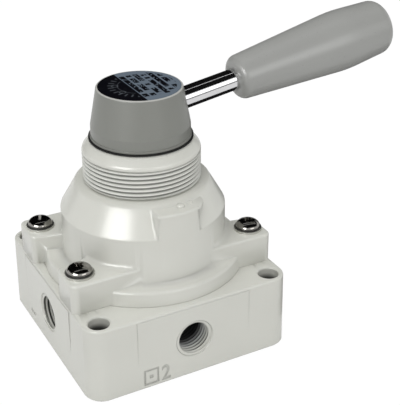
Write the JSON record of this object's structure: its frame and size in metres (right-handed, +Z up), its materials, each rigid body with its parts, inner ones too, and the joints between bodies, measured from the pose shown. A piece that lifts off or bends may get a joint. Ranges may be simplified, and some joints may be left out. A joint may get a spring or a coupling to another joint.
{
  "type": "hand lever air valve",
  "caption": "Square-based pneumatic rotary disc valve with side ports, domed bonnet with a threaded panel neck, and a tilted hand lever with a tapered grip.",
  "frame": {"origin": "centre of the base's underside", "axes": "+Z up along the spindle, +X along the lever in its middle position, the face below the indicator pad looks along -Y"},
  "size_m": [0.136, 0.0756, 0.1055],
  "materials": {
    "painted_casting": "semi-gloss light warm-grey paint on die-cast aluminium",
    "hub_plastic": "satin moulded grey plastic",
    "grip_plastic": "satin moulded grey plastic",
    "chrome_rod": "polished chrome plate",
    "plated_screw": "bright zinc or nickel plate",
    "plated_washer": "bright zinc plate",
    "hard_steel": "ground steel",
    "spring_steel": "drawn spring wire",
    "black_rubber": "matt black nitrile rubber",
    "white_acetal": "smooth white acetal",
    "bronze": "oil-filled bronze or brass",
    "label_print": null
  },
  "bodies": {
    "housing": {"base_body": "painted_casting", "bonnet": "painted_casting", "cover_screws": "plated_screw", "screw_washers": "plated_washer", "body_o_ring": "black_rubber", "port_gasket": "black_rubber", "seat_plate": "hard_steel", "seat_dowels": "hard_steel", "detent_plate": "hard_steel", "detent_plate_screws": "plated_washer", "stop_pin": "hard_steel", "thrust_washer": "white_acetal", "shaft_bush": "bronze", "dust_ring": "black_rubber"},
    "lever": {"valve_rotor": "white_acetal", "drive_pins": "hard_steel", "rotor_spring": "spring_steel", "spindle": "hard_steel", "shaft_o_ring": "black_rubber", "hub": "hub_plastic", "hub_washer": "plated_washer", "hub_screw": "plated_washer", "hub_label": "label_print", "lever_rod": "chrome_rod", "knob": "grip_plastic", "knob_insert": "bronze", "detent_spring": "spring_steel"},
    "ball": {"detent_ball": "hard_steel"}
  },
  "joints": [
    {"name": "lever_turn", "type": "hinge", "parent": "housing", "child": "lever", "pos_m": [0, 0, 0.07335], "axis": [0, 0, 1], "range_deg": [-45, 45]},
    {"name": "detent_ball_slide", "type": "slide", "parent": "lever", "child": "ball", "axis": [0, 0, 1], "range_m": [0, 0.00035], "stiffness_N_per_m": 2000, "springref_m": 0.0025, "deforming": ["detent_spring"]}
  ]
}
